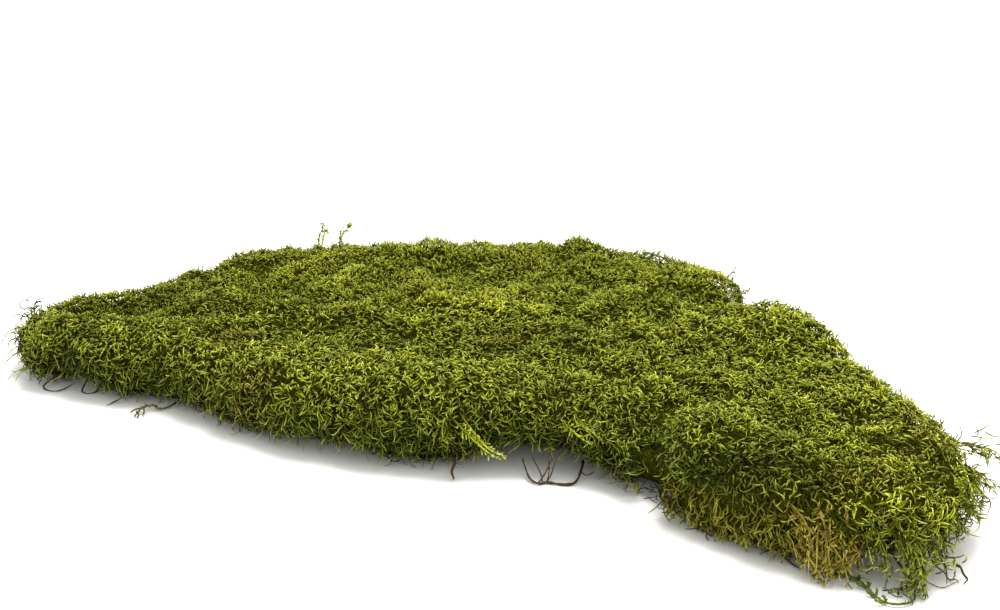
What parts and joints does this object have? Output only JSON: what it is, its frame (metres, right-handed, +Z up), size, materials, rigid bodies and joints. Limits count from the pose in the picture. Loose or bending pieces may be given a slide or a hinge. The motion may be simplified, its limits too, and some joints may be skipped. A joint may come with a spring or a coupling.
{
  "type": "moss clump",
  "caption": "Flat, irregular sheet of living moss lifted from the ground, with a thin wing, a broad lobe, tufted rim and a few stems trailing from its underside.",
  "frame": {"origin": "middle of the clump's box, on the surface that it lies on", "axes": "+X along the mat from its thin wing to its broad lobe, +Y from its front edge to its back edge, +Z up"},
  "size_m": [0.4784, 0.3606, 0.049],
  "materials": {
    "moss_green": "dense leafy moss shoots, matt with a slight leaf gloss",
    "frond_green": "leafy stem, satin",
    "rootlet_bark": "dark bark, matt",
    "sprig_olive": "dry leafy stem, matt"
  },
  "bodies": {
    "root": {"moss_mat": "moss_green", "trailing_frond": "frond_green", "rootlet": "rootlet_bark", "side_sprig": "sprig_olive"}
  },
  "joints": []
}
